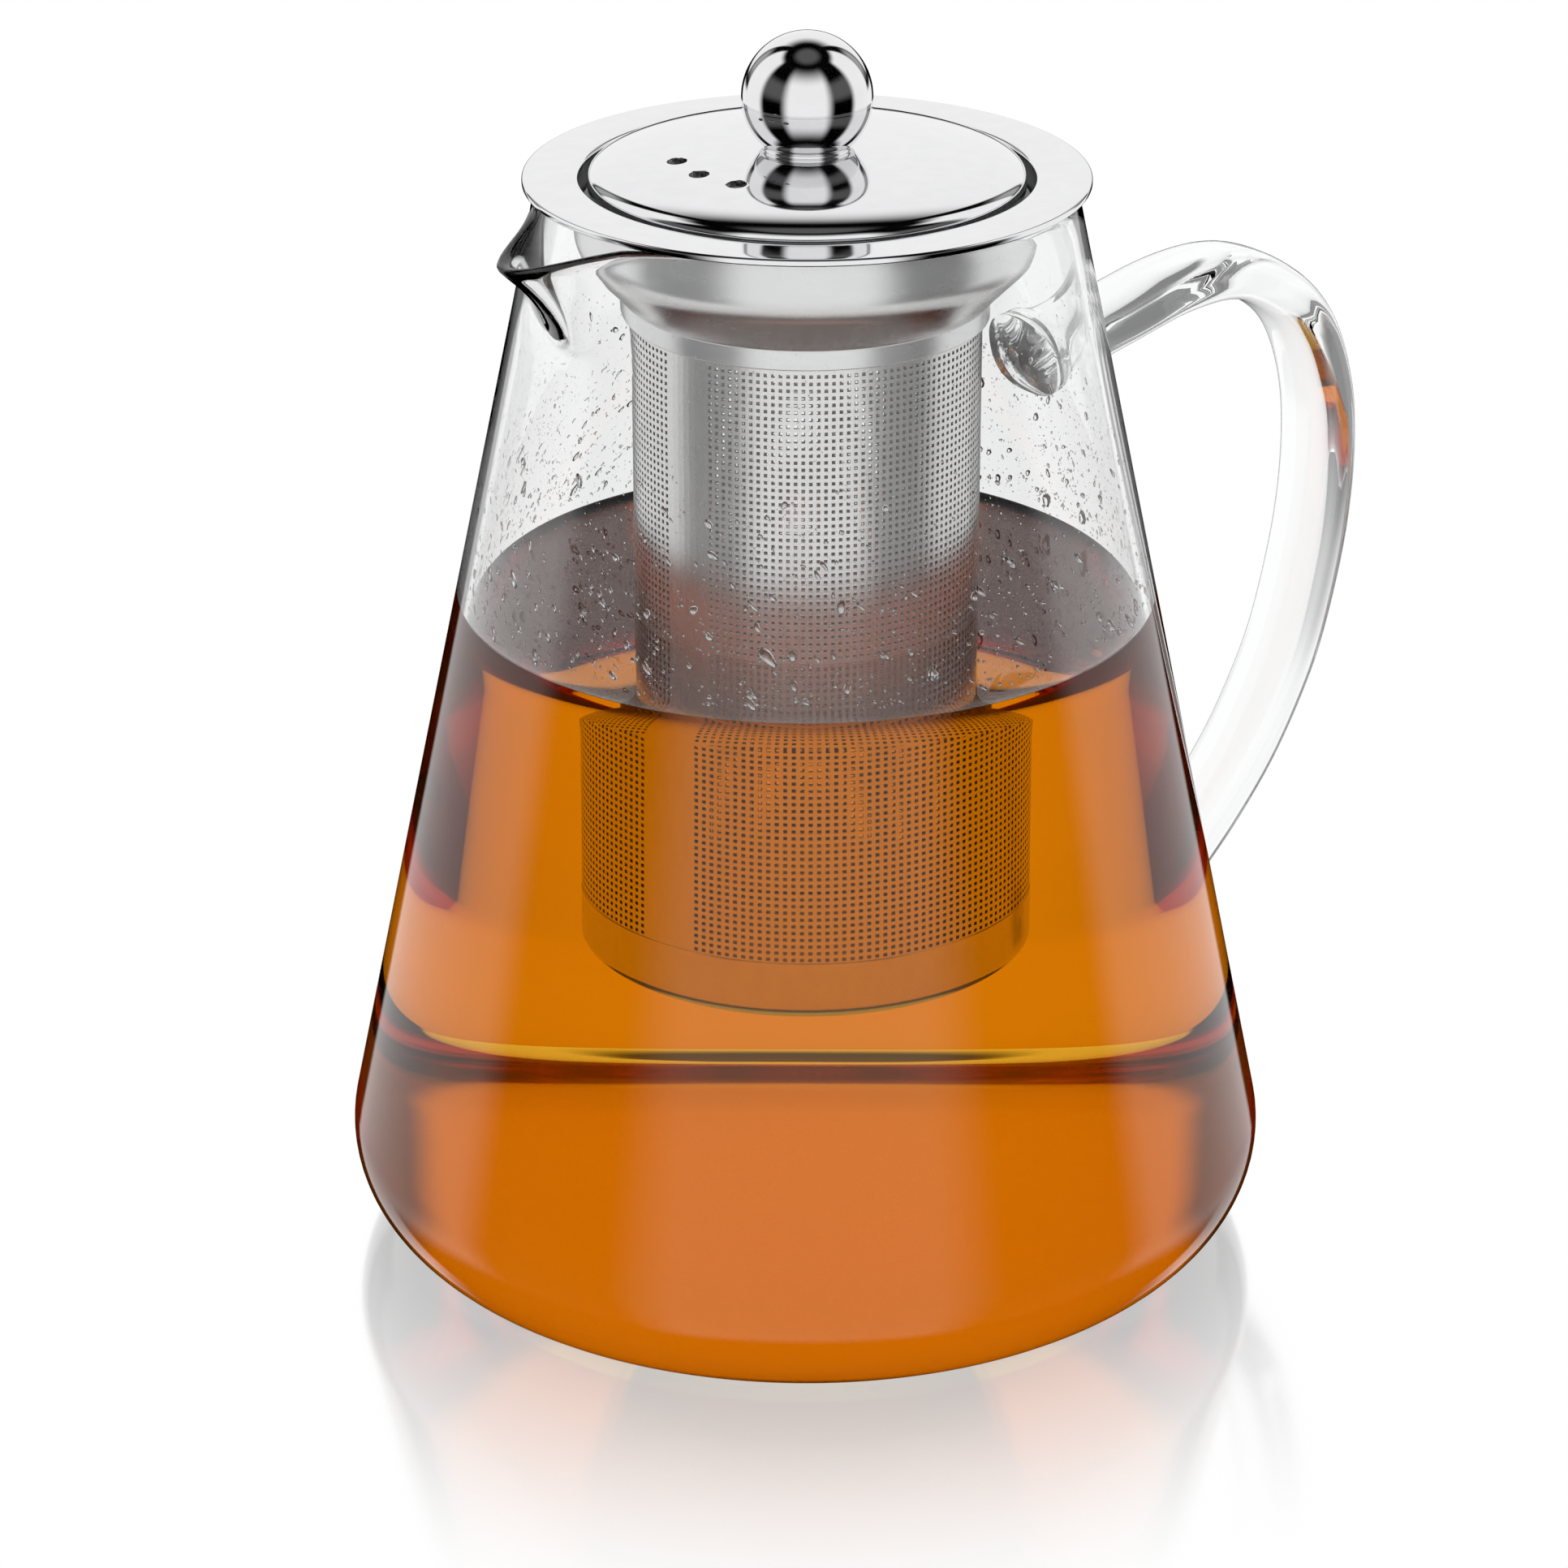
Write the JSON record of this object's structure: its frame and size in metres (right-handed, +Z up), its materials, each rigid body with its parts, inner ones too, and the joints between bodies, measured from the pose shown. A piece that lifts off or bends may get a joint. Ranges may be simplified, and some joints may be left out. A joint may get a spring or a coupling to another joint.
{
  "type": "glass teapot",
  "caption": "Conical glass teapot with a pulled spout, a glass strap handle, a lift-out steel infuser with a wide brim, and a domed steel lid with a ball knob.",
  "frame": {"origin": "on the pot's axis, in the plane it stands on", "axes": "+Z up along the pot's axis, +X towards the handle, -X towards the spout"},
  "size_m": [0.1704, 0.1334, 0.1776],
  "materials": {
    "clear_glass": "clear, fire polished",
    "polished_steel": "mirror polished stainless steel",
    "satin_steel": "satin stainless steel",
    "silicone": "translucent white silicone"
  },
  "bodies": {
    "carafe": {"glass_body": "clear_glass", "glass_handle": "clear_glass"},
    "infuser": {"infuser_collar": "polished_steel", "infuser_tube": "satin_steel", "infuser_base": "satin_steel"},
    "lid_ring": {"lid_seal": "silicone"},
    "lid": {"lid_cap": "polished_steel", "lid_skirt": "satin_steel", "knob_ball": "polished_steel", "knob_collar": "polished_steel", "knob_washer": "satin_steel", "knob_screw": "satin_steel"}
  },
  "joints": [
    {"name": "infuser_lift", "type": "slide", "parent": "carafe", "child": "infuser", "axis": [0, 0, 1], "range_m": [0, 0.13]},
    {"name": "lid_lift", "type": "slide", "parent": "infuser", "child": "lid_ring", "axis": [0, 0, 1], "range_m": [0, 0.06]},
    {"name": "lid_turn", "type": "hinge", "parent": "lid_ring", "child": "lid", "pos_m": [0, 0, 0.158], "axis": [0, 0, 1], "continuous": true}
  ]
}
